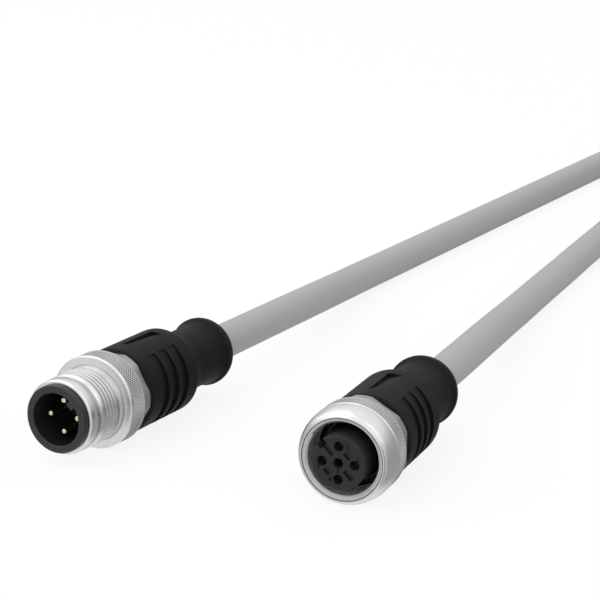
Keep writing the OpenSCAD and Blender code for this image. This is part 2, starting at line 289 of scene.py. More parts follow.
class Value:
    """A socket whose arithmetic adds Math nodes."""

    def __init__(self, graph: Graph, socket: bpy.types.NodeSocket) -> None:
        """Wraps a socket.

        Args:
            graph: The graph it belongs to.
            socket: An output socket.
        """
        self.graph, self.socket = graph, socket

    def _math(self, operation: str, *values: Any) -> Value:
        """Adds a Math node.

        Args:
            operation: What it works out.
            values: The numbers and values that it works on.

        Returns:
            Its result.
        """
        settings, sockets = {"operation": operation}, dict(enumerate(values))
        return self.graph.value(self.graph.node("ShaderNodeMath", settings, sockets))

    def __add__(self, other: Any) -> Value:
        """Sum."""
        return self._math("ADD", self, other)

    __radd__ = __add__

    def __sub__(self, other: Any) -> Value:
        """Difference."""
        return self._math("SUBTRACT", self, other)

    def __rsub__(self, other: Any) -> Value:
        """Difference from a number."""
        return self._math("SUBTRACT", other, self)

    def __mul__(self, other: Any) -> Value:
        """Product."""
        return self._math("MULTIPLY", self, other)

    __rmul__ = __mul__

    def smooth(self, low: float, high: float) -> Value:
        """Smooth step from 0 at low to 1 at high.

        Args:
            low: Where the step starts.
            high: Where it ends.

        Returns:
            The step.
        """
        node = self.graph.node(
            "ShaderNodeMapRange",
            {"interpolation_type": "SMOOTHSTEP"},
            {"Value": self, "From Min": low, "From Max": high},
        )
        return self.graph.value(node)


def surface(name: str) -> tuple[bpy.types.Material, Graph]:
    """Makes an empty node material.

    Args:
        name: Its name.

    Returns:
        The material and its graph.
    """
    material = bpy.data.materials.new(name)
    material.use_nodes = True
    return material, Graph(material.node_tree)


# ---------------------------------------------------------------- finishes


def grey(tone: float) -> Colour:
    """A grey of one tone."""
    return (tone, tone, tone)


def toned(colour: Colour, factor: float) -> Colour:
    """Makes a colour darker or lighter.

    Args:
        colour: The colour.
        factor: What its parts are multiplied by.

    Returns:
        The new colour.
    """
    return tuple(c * factor for c in colour)


@dataclass(frozen=True)
class NickelPlate:
    """Turned metal under nickel plate: fine rings round the head's axis and a faint cloudiness.

    Scales are in waves per metre, and ring_scale has one for each axis of the head.
    """

    colour: Colour = (0.77, 0.765, 0.76)
    roughness: float = 0.33
    metallic: float = 1.0
    ring_depth: float = 1.6e-6
    ring_scale: Point = (60, 60, 5200)
    cloud_scale: float = 700
    speck_scale: float = 9000
    worn: float = 0.94

    def material(self, name: str) -> bpy.types.Material:
        """Builds the finish.

        Args:
            name: The material's name.

        Returns:
            The material.
        """
        made, g = surface(name)
        place = g.place()
        rings = g.noise(g.scaled(place, self.ring_scale), 1.0)
        cloud = g.noise(place, self.cloud_scale, 3.0)
        specks = g.noise(place, self.speck_scale)
        worn = toned(self.colour, self.worn)
        g.principled({
            "Base Color": g.blend(cloud.smooth(0.3, 0.75), worn, self.colour),
            "Metallic": self.metallic,
            "Roughness": (rings - 0.5) * 0.1 + (cloud - 0.5) * 0.06 + self.roughness,
            "Normal": g.bump(rings * 0.75 + specks * 0.25, self.ring_depth),
        })  # fmt: skip
        return made


@dataclass(frozen=True)
class GoldPlate:
    """Thin pale gold on a turned contact."""

    colour: Colour = (0.86, 0.74, 0.47)
    roughness: float = 0.22
    cloud_scale: float = 1800
    deep: float = 0.86

    def material(self, name: str) -> bpy.types.Material:
        """Builds the finish.

        Args:
            name: The material's name.

        Returns:
            The material.
        """
        made, g = surface(name)
        cloud = g.noise(g.place(), self.cloud_scale, 3.0)
        deep = toned(self.colour, self.deep)
        g.principled({
            "Base Color": g.blend(cloud.smooth(0.3, 0.7), deep, self.colour),
            "Metallic": 1.0,
            "Roughness": (cloud - 0.5) * 0.2 + self.roughness,
            "Normal": g.bump(cloud, 1e-6),
        })  # fmt: skip
        return made


@dataclass(frozen=True)
class Moulding:
    """Moulded plastic or rubber with a spark-eroded grain and faint flow clouds."""

    colour: Colour
    roughness: float
    grain_mm: float = 0.22
    grain_depth: float = 9e-6
    cloud: float = 0.22
    cloud_scale: float = 320
    specular: float = 0.5

    def material(self, name: str) -> bpy.types.Material:
        """Builds the finish.

        Args:
            name: The material's name.

        Returns:
            The material.
        """
        made, g = surface(name)
        place = g.place()
        grain = g.noise(place, 1 / (self.grain_mm * MM), 2.0, 0.6)
        flow = g.noise(place, self.cloud_scale, 3.0)
        low, high = toned(self.colour, 1 - self.cloud), toned(self.colour, 1 + self.cloud)
        g.principled({
            "Base Color": g.blend(flow * 0.7 + grain * 0.3, low, high),
            "Roughness": (flow - 0.5) * 0.16 + (grain - 0.5) * 0.1 + self.roughness,
            "Normal": g.bump(grain, self.grain_depth),
            "Specular IOR Level": self.specular,
        })  # fmt: skip
        return made


GRIP = Moulding(grey(0.0085), 0.58, grain_mm=0.16, grain_depth=8e-6, specular=0.13)
CARRIER = Moulding((0.016, 0.016, 0.017), 0.45, grain_mm=0.12, grain_depth=4e-6)
INSERT = Moulding((0.022, 0.022, 0.023), 0.52, grain_mm=0.12, grain_depth=4e-6, specular=0.25)
# The numbers are painted darker than the insert, as the shade of their raised strokes
NUMBERS = Moulding(grey(0.004), 0.6, grain_mm=0.12, grain_depth=3e-6, specular=0.05)
SEAL = Moulding(grey(0.018), 0.45, grain_mm=0.3, grain_depth=3e-6)
CORE_MOULD = Moulding((0.58, 0.55, 0.46), 0.5)
JACKET = Moulding((0.435, 0.435, 0.443), 0.46, grain_mm=0.3, grain_depth=7e-6, cloud=0.05)
TIE = Moulding((0.03, 0.03, 0.032), 0.7, grain_mm=0.5, grain_depth=4e-5)
WIRE_COLOURS: dict[str, Colour] = {
    "brown": (0.13, 0.05, 0.02),
    "white": (0.78, 0.78, 0.76),
    "blue": (0.02, 0.07, 0.36),
    "black": grey(0.015),
}


# ---------------------------------------------------------------- shapes


def add_object(name: str, data: bpy.types.ID) -> bpy.types.Object:
    """Puts a new object in the scene.

    Args:
        name: Its name.
        data: Its mesh, curve, camera or light.

    Returns:
        The object.
    """
    made = bpy.data.objects.new(name, data)
    bpy.context.scene.collection.objects.link(made)
    return made


def shade(mesh: bpy.types.Mesh, crease: float) -> None:
    """Shades a mesh smooth and keeps its creases.

    Args:
        mesh: The mesh.
        crease: Angle above which an edge is sharp, in degrees.
    """
    mesh.shade_smooth()
    mesh.set_sharp_from_angle(angle=math.radians(crease))


def arc(r: float, s: float, radius: float, start: float, end: float, steps: int = 5) -> Profile:
    """Points of an arc in a head's half plane.

    Args:
        r: Distance of its centre from the axis.
        s: Station of its centre.
        radius: Its radius.
        start: First angle in degrees, 0 outward and 90 towards the cable.
        end: Last angle.
        steps: How many chords it has.

    Returns:
        Pairs of distance from the axis and station.
    """
    angles = [math.radians(start + (end - start) * i / steps) for i in range(steps + 1)]
    return [(r + radius * math.cos(a), s + radius * math.sin(a)) for a in angles]


@dataclass(frozen=True)
class Head:
    """Where a connector head lies, in millimetres and degrees."""

    x: float
    y: float
    turn: float
    height: float = 7.45

    def matrix(self) -> Matrix:
        """Carries the head's own frame, in metres, into the frame.

        Returns:
            The matrix.
        """
        at = Vector((self.x, self.y, self.height)) * MM
        turn = Matrix.Rotation(math.radians(self.turn), 4, "Z")
        return Matrix.Translation(at) @ turn @ Matrix.Rotation(math.radians(-90), 4, "X")

    def station(self, s: float) -> Point:
        """A point on the head's axis, in millimetres.

        Args:
            s: Distance behind the mating face.

        Returns:
            The point in the frame.
        """
        a = math.radians(self.turn)
        return (self.x - s * math.sin(a), self.y + s * math.cos(a), self.height)


@dataclass(frozen=True)
class Thread:
    """A right-handed thread on a turned part, in millimetres.

    Radii are distances from the axis: crest_r is that of the crests and the plain surface, and
    root_r that of the groove's bottom. The groove runs in and out over the lengths run_in and
    run_out, and crosses the right of the head at the station groove_at. A nut's thread starts
    in a shallow countersink of the radius mouth_r, and 0 stands for none.
    """

    crest_r: float
    root_r: float
    start: float
    end: float
    run_in: float
    run_out: float
    pitch: float
    groove_at: float
    mouth_r: float = 0.0

    def radius(self, s: float, depth: float) -> float:
        """Distance of the surface from the axis.

        Args:
            s: Station.
            depth: Share of the groove's depth.

        Returns:
            The distance.
        """
        run = min(1.0, (s - self.start) / self.run_in, (self.end - s) / self.run_out)
        run = run * run * (3 - 2 * run)
        r = self.crest_r + (self.root_r - self.crest_r) * depth * run
        return max(r, self.mouth_r - (s - self.start) / SINK_SLOPE) if self.mouth_r else r

    def shade_span(self) -> tuple[float, float]:
        """Where the groove gets its painted shade.

        Returns:
            The two stations between which it gets it.
        """
        sunk = self.start
        if self.mouth_r:
            sunk = self.start + (self.mouth_r - self.crest_r) * SINK_SLOPE
        cuts = math.floor((self.end - self.groove_at) / self.pitch) - 0.5
        return sunk, self.groove_at + self.pitch * cuts


class Shell:
    """A mesh put together from sheets of points round a head's axis, in millimetres."""

    def __init__(self, name: str) -> None:
        """Starts an empty shell.

        Args:
            name: The piece's name.
        """
        self.name = name
        self.points: list[Point] = []
        self.faces: list[tuple[int, ...]] = []
        self.skins: list[int] = []

    def _face(self, corners: tuple[int, ...], skin: Skin) -> None:
        """Adds one face and its finish."""
        self.faces.append(corners)
        self.skins.append(int(skin))

    def _ring(self, radius: Sequence[float], station: Sequence[float]) -> int:
        """Adds one ring of points.

        Args:
            radius: Distance of each point from the axis.
            station: Station of each point.

        Returns:
            The number of its first point.
        """
        first, n = len(self.points), len(radius)
        for j in range(n):
            a = 2 * math.pi * j / n
            self.points.append(
                (radius[j] * math.cos(a) * MM, radius[j] * math.sin(a) * MM, station[j] * MM)
            )
        return first

    def _wall(self, rings: list[int], columns: int, skin: Skin) -> None:
        """Joins each closed ring of points to the next one.

        Args:
            rings: Numbers of the rings' first points.
            columns: How many points each ring has.
            skin: The faces' finish.
        """
        for a, b in zip(rings, rings[1:]):
            for j in range(columns):
                k = (j + 1) % columns
                self._face((a + j, a + k, b + k, b + j), skin)

    def revolve(self, profile: Profile, skin: Skin = Skin.TURNED) -> None:
        """Turns a profile round the axis.

        Args:
            profile: Pairs of distance from the axis and station.
            skin: Its finish.
        """
        rings = [self._ring([r] * COLUMNS, [s] * COLUMNS) for r, s in profile]
        self._wall(rings, COLUMNS, skin)

    def thread(self, thread: Thread, crests: Skin, grooves: Skin) -> None:
        """Cuts a thread.

        Its rows follow the helix, so that crest and root are whole lines of points.

        Args:
            thread: The thread's sizes.
            crests: Finish of the crests and flanks.
            grooves: Finish of the grooves: a darker copy, painted as their shade.
        """
        n, pitch = len(GROOVE), thread.pitch
        lead = math.ceil((thread.groove_at - thread.start) / pitch) + 1
        first = thread.groove_at - pitch * lead
        turns = math.ceil((thread.end - first) / pitch) + 1
        rows: list[int] = []
        for k in range(turns * n + 1):
            phase, depth = GROOVE[k % n]
            radius, station = [], []
            for j in range(COLUMNS):
                s = first + pitch * (k // n + phase + j / COLUMNS)
                s = min(max(s, thread.start), thread.end)
                radius.append(thread.radius(s, depth))
                station.append(s)
            rows.append(self._ring(radius, station))
        low, high = thread.shade_span()
        last = COLUMNS - 1
        for k, (a, b) in enumerate(zip(rows, rows[1:])):
            skins = []
            for j in range(COLUMNS):
                s = first + pitch * (k / n + j / COLUMNS)
                # Groove faces past the countersink get the painted shade
                cut = k % n in GROOVE_ROWS and low < s < high
                skins.append(grooves if cut else crests)
            for j in range(last):
                self._face((a + j, a + j + 1, b + j + 1, b + j), skins[j])
            if k + n + 1 < len(rows):
                self._face((a + last, rows[k + n], rows[k + n + 1], b + last), skins[last])

    def knurl(self, outer: float, depth: float, start: float, end: float) -> None:
        """Presses a pointed diamond knurl between two stations.

        Args:
            outer: Distance of the tips from the axis.
            depth: Depth of the grooves.
            start: First station.
            end: Last station.
        """
        cell = 2 * math.pi * outer * DIAMOND / COLUMNS
        n = round((end - start) / cell * DIAMOND)
        rings = []
        for i in range(n + 1):
            flush = 0.0 if i in (0, n) else 1.0
            radius = []
            for j in range(COLUMNS):
                to_lines = [way % DIAMOND for way in (i + j, -(i + j), i - j, j - i)]
                rise = min(to_lines) / (DIAMOND / 2)
                radius.append(outer - depth * (1 - rise) * flush)
            rings.append(self._ring(radius, [start + (end - start) * i / n] * COLUMNS))
        for i in range(n):
            for j in range(COLUMNS):
                k = (j + 1) % COLUMNS
                a, b, c, d = rings[i] + j, rings[i] + k, rings[i + 1] + k, rings[i + 1] + j
                for corners in ((a, b, d), (b, c, d)) if (i + j) % 2 else ((a, b, c), (a, c, d)):
                    self._face(corners, Skin.KNURL_AND_SHADE)

    def flats(self, across: float, corner: float, turn: float, rows: Profile) -> None:
        """Lofts a hexagonal section with rounded corners.

        Args:
            across: Distance across the flats.
            corner: Diameter over the rounded corners.
            turn: Clock angle that one flat faces, in degrees.
            rows: Pairs of inset from the section and station.
        """
        flat_steps, corner_steps = 6, 8
        half = math.degrees(math.acos(across / corner))
        angles: list[float] = []
        for side in range(6):
            middle = 60 * side - turn
            for i in range(flat_steps + 1):
                angles.append(middle - half + 2 * half * i / flat_steps)
            for i in range(1, corner_steps):
                angles.append(middle + half + (60 - 2 * half) * i / corner_steps)
        rings = []
        for inset, s in rows:
            rings.append(len(self.points))
            for a in angles:
                off = (a + turn + 30) % 60 - 30
                r = min(across / 2 / math.cos(math.radians(off)), corner / 2) - inset
                t = math.radians(a)
                self.points.append((r * math.cos(t) * MM, r * math.sin(t) * MM, s * MM))
        self._wall(rings, len(angles), Skin.KNURL_AND_SHADE)

    def build(self, matrix: Matrix, crease: float = 32.0) -> bpy.types.Object:
        """Makes the object: points that meet are joined and creases stay sharp.

        Args:
            matrix: Where the head lies.
            crease: Angle above which an edge is sharp, in degrees.

        Returns:
            The object.
        """
        mesh = bpy.data.meshes.new(self.name)
        mesh.from_pydata(self.points, [], self.faces)
        mesh.polygons.foreach_set("material_index", self.skins)
        work = bmesh.new()
        work.from_mesh(mesh)
        weld, speck = 2e-7, 1e-7
        bmesh.ops.remove_doubles(work, verts=work.verts, dist=weld)
        bmesh.ops.dissolve_degenerate(work, edges=work.edges, dist=speck)
        bmesh.ops.recalc_face_normals(work, faces=work.faces)
        work.to_mesh(mesh)
        work.free()
        shade(mesh, crease)
        made = add_object(self.name, mesh)
        made.matrix_world = matrix
        return made


def dress(piece: bpy.types.Object, *materials: bpy.types.Material) -> None:
    """Gives a piece its finishes.

    Args:
        piece: A new piece or a node of the frame.
        materials: The finishes, in the order of the material slots.
    """
    while len(piece.data.materials) > len(materials):
        piece.data.materials.pop()
    for slot, material in enumerate(materials):
        if slot < len(piece.data.materials):
            piece.data.materials[slot] = material
        else:
            piece.data.materials.append(material)


# ---------------------------------------------------------------- sub-assemblies

PLUG = Head(-22.84, -21.96, 0.0)
SOCKET = Head(23.56, -17.96, 7.44)


@dataclass
class CouplingRing:
    """A metal ring with a knurled band and a hexagon behind it, in millimetres.

    Stations count from the head's mating face. across and corner are the hexagon's diameters
    over its flats and its rounded corners, and flats_turn is the clock angle of one flat.
    """

    front: float
    knurl_at: float
    knurl_depth: float
    flats_at: float
    back: float
    across: float
    corner: float
    flats_turn: float
    knurl_r: float = 7.45
    bore_r: float = 5.0
    back_r: float = 6.0
    step: float = 0.35

    def add_band(self, shell: Shell, start: float) -> None:
        """Adds the knurl, the hexagon and the back face.

        Args:
            shell: The ring's mesh.
            start: Station at which the knurl starts.
        """
        r, at, back = self.knurl_r, self.flats_at, self.back
        knurl_end = at - self.step - 0.1
        shell.knurl(r, self.knurl_depth, start, knurl_end)
        shell.revolve([
            (r, knurl_end), (r, at - self.step), (r - self.step, at), (self.bore_r + 0.4, at),
        ], Skin.KNURL_AND_SHADE)  # fmt: skip
        shell.flats(self.across, self.corner, self.flats_turn, [
            (1.0, at - 0.02), (0.0, at - 0.02), (0.0, back - 0.15), (0.04, back - 0.05),
            (0.15, back), (1.2, back),
        ])  # fmt: skip
        shell.revolve([(self.back_r, back - 0.01), (self.bore_r, back - 0.01)], Skin.KNURL_AND_SHADE)


@dataclass
class PlugRing(CouplingRing):
    """Coupling ring of the plug, with the outside thread."""

    front: float = 1.12
    knurl_at: float = 10.02
    knurl_depth: float = 0.2
    flats_at: float = 13.63
    back: float = 15.58
    across: float = 13.1
    corner: float = 13.85
    flats_turn: float = 29.5
    nose_r: float = 5.5
    nose_round: float = 0.4
    bore_chamfer: float = 0.12
    thread_r: float = 6.0
    root_r: float = 5.6
    thread_at: float = 4.4
    thread_end: float = 8.9
    flange_at: float = 9.62
    flange_round: float = 0.3

    def mesh(self) -> bpy.types.Object:
        """Builds the nose, thread, flange, knurl and flats.

        Returns:
            The ring.
        """
        shell = Shell("plug_ring_dressed")
        chamfer = self.bore_chamfer
        nose: Profile = [
            (self.bore_r, self.thread_at + 1), (self.bore_r, self.front + chamfer),
            (self.bore_r + chamfer, self.front),
        ]  # fmt: skip
        nose += arc(self.nose_r, self.front + self.nose_round, self.nose_round, -90, -3)
        undercut = [(5.64, 2.93), (5.54, 3.08), (5.53, 3.3), (5.58, 3.5), (5.74, 3.8)]
        shell.revolve([*nose, (5.95, 2.7), (5.91, 2.78), undercut[0]])
        # The undercut takes the darker copy as painted shade
        shell.revolve(undercut, Skin.KNURL_AND_SHADE)
        shell.revolve([
            undercut[-1], (5.84, 3.97), (5.94, 4.15), (self.thread_r - 0.01, 4.3),
            (self.thread_r, self.thread_at),
        ])  # fmt: skip
        thread = Thread(
            self.thread_r, self.root_r, self.thread_at, self.thread_end,
            run_in=0.12, run_out=2.0, pitch=0.77, groove_at=4.2,
        )  # fmt: skip
        # The thread's grooves take the darker copy as painted shade
        shell.thread(thread, Skin.TURNED, Skin.KNURL_AND_SHADE)
        corner_at = self.flange_at - 0.2
        shell.revolve([(self.thread_r, self.thread_end), (self.thread_r, corner_at)])
        fillet = arc(self.thread_r + 0.16, corner_at, 0.18, 175, 95, 4)
        # The fillet at the flange's foot takes the darker copy as painted shade
        shell.revolve([(self.thread_r, corner_at), *fillet], Skin.KNURL_AND_SHADE)
        edge = self.flange_round
        rim = arc(self.knurl_r - edge, self.flange_at + edge, edge, -90, 0, 6)
        shell.revolve([fillet[-1], *rim, (self.knurl_r, self.knurl_at)])
        self.add_band(shell, self.knurl_at)
        # The bore takes the darker copy too
        shell.revolve([
            (self.bore_r, self.back - 0.01), (self.bore_r, self.flats_at - 3),
        ], Skin.KNURL_AND_SHADE)  # fmt: skip
        return shell.build(PLUG.matrix())

    def piece(self, metal: list[bpy.types.Material]) -> bpy.types.Object:
        """Builds and dresses the ring.

        Args:
            metal: The metal finishes, in the order of Skin.

        Returns:
            The ring.
        """
        ring = self.mesh()
        dress(ring, *metal[: Skin.INSIDE])
        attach(ring, Body.PLUG_RING.value)
        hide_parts("plug_coupling_ring")
        return ring


@dataclass
class SocketNut(CouplingRing):
    """Coupling nut of the socket, with the inside thread."""

    front: float = 1.4
    knurl_at: float = 5.12
    knurl_depth: float = 0.24
    flats_at: float = 8.5
    back: float = 10.3
    across: float = 13.5
    corner: float = 14.3
    flats_turn: float = -0.5
    lip_r: float = 6.5
    lip_round: float = 0.15
    mouth_r: float = 6.28
    # Width of the ring of painted shade round the mouth
    mouth_shade_width: float = 0.14
    crest_r: float = 5.5
    root_r: float = 5.72
    thread_end: float = 6.4
    wall_at: float = 9.02
    flank_end: float = 4.9
    band_round: float = 0.22

    def mesh(self) -> bpy.types.Object:
        """Builds the lip, flank, band, knurl, flats and inside thread.

        Returns:
            The nut.
        """
        shell = Shell("socket_nut_dressed")
        thread_at = self.front + 0.05
        thread = Thread(
            self.crest_r, self.root_r, thread_at, self.thread_end,
            run_in=0.05, run_out=0.35, pitch=0.5, groove_at=2.0, mouth_r=self.mouth_r,
        )  # fmt: skip
        # The thread's grooves take the painted shade
        shell.thread(thread, Skin.INSIDE, Skin.GROOVE_SHADE)
        shell.revolve([
            (self.bore_r, self.back - 0.01), (self.bore_r, self.wall_at),
            (self.crest_r, self.wall_at), (self.crest_r, self.thread_end),
        ])  # fmt: skip
        line, mouth = self.mouth_shade_width, (self.mouth_r, thread_at - 0.005)
        # A thin ring of painted shade between the lip and the countersink
        shell.revolve([
            (self.mouth_r - line, thread_at + line * SINK_SLOPE - 0.005), mouth,
        ], Skin.GROOVE_SHADE)  # fmt: skip
        outside: Profile = [
            mouth, (self.mouth_r + 0.02, self.front + 0.01), (self.mouth_r + 0.05, self.front),
        ]  # fmt: skip
        lip = self.lip_round
        outside += arc(self.lip_r - lip, self.front + lip, lip, -90, 0, 4)
        rise, run, steps = self.knurl_r - self.lip_r, self.flank_end - self.front - 0.3, 16
        for i in range(1, steps + 1):
            a = math.pi / 2 * i / steps
            outside.append((self.lip_r + rise * math.sin(a), self.flank_end - run * math.cos(a)))
        band, edge = self.knurl_r - 0.15, self.band_round
        outside += [
            (self.knurl_r - 0.03, self.flank_end + 0.07), (band, self.flank_end + 0.12),
            (band, self.knurl_at),
        ]  # fmt: skip
        outside += arc(self.knurl_r - edge, self.knurl_at + edge, edge, -60, 0, 3)
        knurl_start = self.knurl_at + 0.24
        shell.revolve([*outside, (self.knurl_r, knurl_start)])
        self.add_band(shell, knurl_start)
        return shell.build(SOCKET.matrix())

    def piece(self, metal: list[bpy.types.Material]) -> bpy.types.Object:
        """Builds and dresses the nut.

        Args:
            metal: The metal finishes, in the order of Skin.

        Returns:
            The nut.
        """
        nut = self.mesh()
        dress(nut, *metal)
        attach(nut, Body.SOCKET_NUT.value)
        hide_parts("socket_coupling_nut")
        return nut


@dataclass
class PositionNumbers:
    """The five position numbers on the face of the socket's insert, in millimetres."""

    size: float = 0.75
    type_size: float = 1.4
    proud: float = 0.03

    def places(self) -> dict[str, tuple[float, float]]:
        """Where the numbers stand on the face.

        Returns:
            Each number's middle, to the right and up, in millimetres.
        """
        return {
            "1": (-3.02, -0.86),
            "2": (1.37, 2.6),
            "3": (2.98, 0.82),
            "4": (-1.3, -2.6),
            "5": (-0.04, -1.23),
        }

    def mesh(self) -> bpy.types.Object:
        """Builds the numbers as one thin raised piece.

        Returns:
            The piece.
        """
        joined = bmesh.new()
        to_face = Matrix.Rotation(math.pi, 4, "X")
        for text, (right, up) in self.places().items():
            curve = bpy.data.curves.new("number_" + text, "FONT")
            curve.body, curve.size = text, self.size * MM * self.type_size
            curve.align_x, curve.align_y = "CENTER", "CENTER"
            curve.extrude = self.proud * MM
            curve.resolution_u = 4
            holder = add_object(curve.name, curve)
            flat = bpy.data.meshes.new_from_object(holder)
            flat.transform(to_face @ Matrix.Translation(Vector((right, up, 0)) * MM))
            joined.from_mesh(flat)
            bpy.data.objects.remove(holder)
        mesh = bpy.data.meshes.new("insert_numbers")
        joined.to_mesh(mesh)
        joined.free()
        made = add_object(mesh.name, mesh)
        made.matrix_world = SOCKET.matrix()
        return made

    def piece(self) -> bpy.types.Object:
        """Builds and dresses the numbers.

        Returns:
            The piece.
        """
        numbers = self.mesh()
        # The numbers' darker colour is painted shade of their raised strokes
        dress(numbers, NUMBERS.material("number_moulding"))
        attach(numbers, Body.CABLE_SET.value)
        return numbers


@dataclass
class Cable:
    """The round cable between the two grips, with its spare length in a coil, in millimetres.

    coil_turn is the angle in degrees that the coil goes round. climb_at and climb are the shares
    of it at which the cable starts to climb to the second layer, and over which it climbs.
    strap_faces are the distances of a strap's outer and inner face from the jacket.
    """

    diameter: float = 5.9
    length: float = 1000.0
    coil_x: float = 6.4
    coil_y: float = 252.0
    inner_r: float = 29.2
    outer_r: float = 37.2
    coil_turn: float = 945.0
    climb_at: float = 0.44
    climb: float = 0.12
    lowest: float = 3
    layer: float = 6
    plug_exit: float = 43.5
    socket_exit: float = 38.67
    strap_angles: tuple[float, float] = (62.0, 242.0)
    strap_width: float = 9.0
    strap_faces: tuple[float, float] = (0.045, 0.005)

    def plug_route(self) -> list[Point]:
        """Way of the cable from the plug to the coil.

        Returns:
            Points of its middle line, in millimetres.
        """
        return [
            (-22.8, 30, 7.45), (-23, 40, 7.35), (-23.8, 50, 6.9), (-25.2, 60, 6.1),
            (-27, 70, 5.1), (-28.7, 80, 4.15), (-30, 90, 3.45), (-30.6, 100, 3.1),
            (-30.8, 115, 3), (-30.8, 135, 3), (-30.8, 155, 3), (-30.8, 175, 3),
            (-30.8, 195, 3), (-30.8, 215, 3), (-30.8, 235, 3),
        ]  # fmt: skip

    def socket_route(self) -> list[Point]:
        """Way of the cable from the socket to the coil.

        Returns:
            Points of its middle line, in millimetres.
        """
        return [
            (17.5, 28.7, 7.45), (16.1, 38.6, 7.35), (14.3, 48.5, 6.9), (12.2, 58.3, 6.1),
            (9.9, 68.1, 5.1), (7.7, 77.9, 4.15), (5.7, 87.7, 3.45), (4, 97.6, 3.1),
            (2, 112.4, 3), (0, 127.3, 3), (-1.9, 142.2, 3), (-3.9, 157, 3), (-5, 166, 3),
            (-4.9, 175, 3), (-2.5, 185, 3.3), (1.6, 193, 4.1), (7.2, 200, 5.4),
            (15.7, 208.5, 7.2), (24.3, 217.1, 8.7),
        ]  # fmt: skip

    def coil_point(self, t: float) -> Point:
        """A point of the coil: in and out again, and up to the second layer halfway.

        Args:
            t: Share of the coil, from 0 to 1.

        Returns:
            The point in millimetres.
        """
        a = math.radians(180 - self.coil_turn * t)
        r = self.outer_r - (self.outer_r - self.inner_r) * (1 - abs(2 * t - 1))
        q = min(1.0, max(0.0, (t - self.climb_at) / self.climb))
        z = self.lowest + self.layer * q * q * (3 - 2 * q)
        return (self.coil_x + r * math.cos(a), self.coil_y + r * math.sin(a), z)

    def line(self) -> np.ndarray:
        """The cable's smooth middle line.

        Returns:
            Points in metres, about 1.5 mm apart.
        """
        coil_steps, knot_steps, spacing = 63, 12, 1.5
        knots = np.array(
            [PLUG.station(self.plug_exit), *self.plug_route()]
            + [self.coil_point(i / coil_steps) for i in range(coil_steps + 1)]
            + [*self.socket_route()[::-1], SOCKET.station(self.socket_exit)]
        )
        knots = np.vstack([2 * knots[0] - knots[1], knots, 2 * knots[-1] - knots[-2]])
        # A Catmull-Rom curve through the knots, then points at even distances along it
        fine = []
        for a, b, c, d in zip(knots, knots[1:], knots[2:], knots[3:]):
            for t in np.arange(0, 1, 1 / knot_steps):
                fine.append(
                    0.5 * (2 * b + (c - a) * t + (2 * a - 5 * b + 4 * c - d) * t**2
                           + (3 * b - a - 3 * c + d) * t**3)
                )  # fmt: skip
        fine.append(knots[-2])
        path = np.array(fine)
        along = np.concatenate([[0], np.cumsum(np.linalg.norm(np.diff(path, axis=0), axis=1))])
        log.info("cable line %.1f mm", along[-1])
        even = np.linspace(0, along[-1], round(along[-1] / spacing) + 1)
        return np.stack([np.interp(even, along, path[:, k]) for k in range(3)], 1) * MM

    def mesh(self, line: np.ndarray) -> bpy.types.Object:
        """Sweeps the jacket along the line.

        Args:
            line: Points of the middle line, in metres.

        Returns:
            The cable.
        """
        sides = 28
        heading = np.gradient(line, axis=0)
        heading /= np.linalg.norm(heading, axis=1)[:, None]
        side = np.cross(heading, (0, 0, 1))
        side /= np.linalg.norm(side, axis=1)[:, None]
        upper = np.cross(side, heading)
        angles = np.linspace(0, 2 * math.pi, sides, endpoint=False)
        r = self.diameter / 2 * MM
        rings = (
            line[:, None]
            + r * np.cos(angles)[None, :, None] * side[:, None]
            + r * np.sin(angles)[None, :, None] * upper[:, None]
        )
        n = len(line)
        faces: list[tuple[int, ...]] = [
            (i * sides + j, i * sides + (j + 1) % sides,
             (i + 1) * sides + (j + 1) % sides, (i + 1) * sides + j)
            for i in range(n - 1) for j in range(sides)
        ]  # fmt: skip
        faces += [tuple(range(sides))[::-1], tuple((n - 1) * sides + j for j in range(sides))]
        mesh = bpy.data.meshes.new("cable")
        mesh.from_pydata(rings.reshape(-1, 3).tolist(), [], faces)
        shade(mesh, 60)
        return add_object("cable", mesh)

    def crossings(self, swing: float) -> Profile:
        """Where the coil's turns cross a half plane of its axis.

        Args:
            swing: The half plane's angle in radians.

        Returns:
            Pairs of distance from the coil's axis and height.
        """
        turns = []
        for k in range(-3, 1):
            t = (180 - math.degrees(swing) - 360 * k) / self.coil_turn
            if 0 <= t <= 1:
                x, y, z = self.coil_point(t)
                turns.append((math.hypot(x - self.coil_x, y - self.coil_y), z))
        return turns

    def tie(self, angle: float) -> bpy.types.Object:
        """Wraps the coil's bundle in a strap at one place.

        Args:
            angle: Where round the coil the strap sits, in degrees.

        Returns:
            The strap.
        """
        reaches = [self.diameter / 2 + off for off in self.strap_faces]
        steps, across = 72, 7
        points, faces = [], []
        for shell, reach in enumerate(reaches):
            for i in range(across):
                aside = (i / (across - 1) - 0.5) * self.strap_width
                swing = math.radians(angle) + aside / self.outer_r
                turns = self.crossings(swing)
                for j in range(steps):
                    a = 2 * math.pi * j / steps
                    n = (math.cos(a), math.sin(a))
                    best = max(turns, key=lambda c: c[0] * n[0] + c[1] * n[1])
                    r, z = best[0] + reach * n[0], best[1] + reach * n[1]
                    points.append((
                        (self.coil_x + r * math.cos(swing)) * MM,
                        (self.coil_y + r * math.sin(swing)) * MM, z * MM,
                    ))  # fmt: skip
            for i in range(across - 1):
                for j in range(steps):
                    k = (j + 1) % steps
                    a = (shell * across + i) * steps
                    face = (a + j, a + k, a + steps + k, a + steps + j)
                    faces.append(face if shell else face[::-1])
        for i in (0, across - 1):
            for j in range(steps):
                k = (j + 1) % steps
                a, b = i * steps, (across + i) * steps
                faces.append((a + j, a + k, b + k, b + j))
        mesh = bpy.data.meshes.new(f"coil_tie_{round(angle) % 360}")
        mesh.from_pydata(points, [], faces)
        shade(mesh, 50)
        return add_object(mesh.name, mesh)

